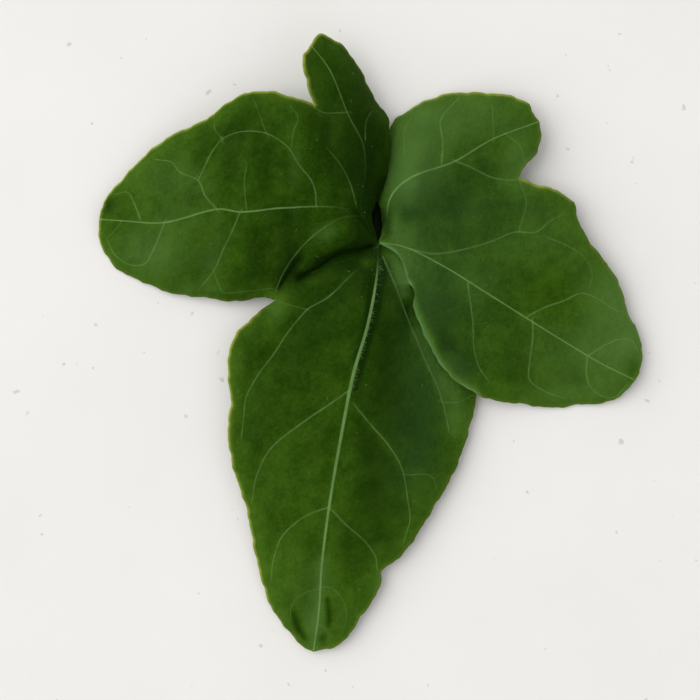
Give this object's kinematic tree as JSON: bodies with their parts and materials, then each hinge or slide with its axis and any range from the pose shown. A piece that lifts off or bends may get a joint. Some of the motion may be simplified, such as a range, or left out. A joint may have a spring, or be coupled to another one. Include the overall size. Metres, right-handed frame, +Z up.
{
  "type": "ivy leaf",
  "caption": "Lobed ivy leaf, picked with a short stub of its stalk and lying face up, with gently arched lobes that overlap where they meet and branching veins.",
  "frame": {"origin": "under the centre of the leaf's bounding box, on the flat surface that it lies on", "axes": "+Z up, out of the leaf's upper side; +Y along the leaf, from the middle lobe's tip towards the basal lobes; +X towards the lobe that overlaps the middle lobe"},
  "size_m": [0.0602, 0.068, 0.0055],
  "materials": {
    "leaf": "satin"
  },
  "bodies": {
    "root": {"leaf": "leaf"}
  },
  "joints": []
}
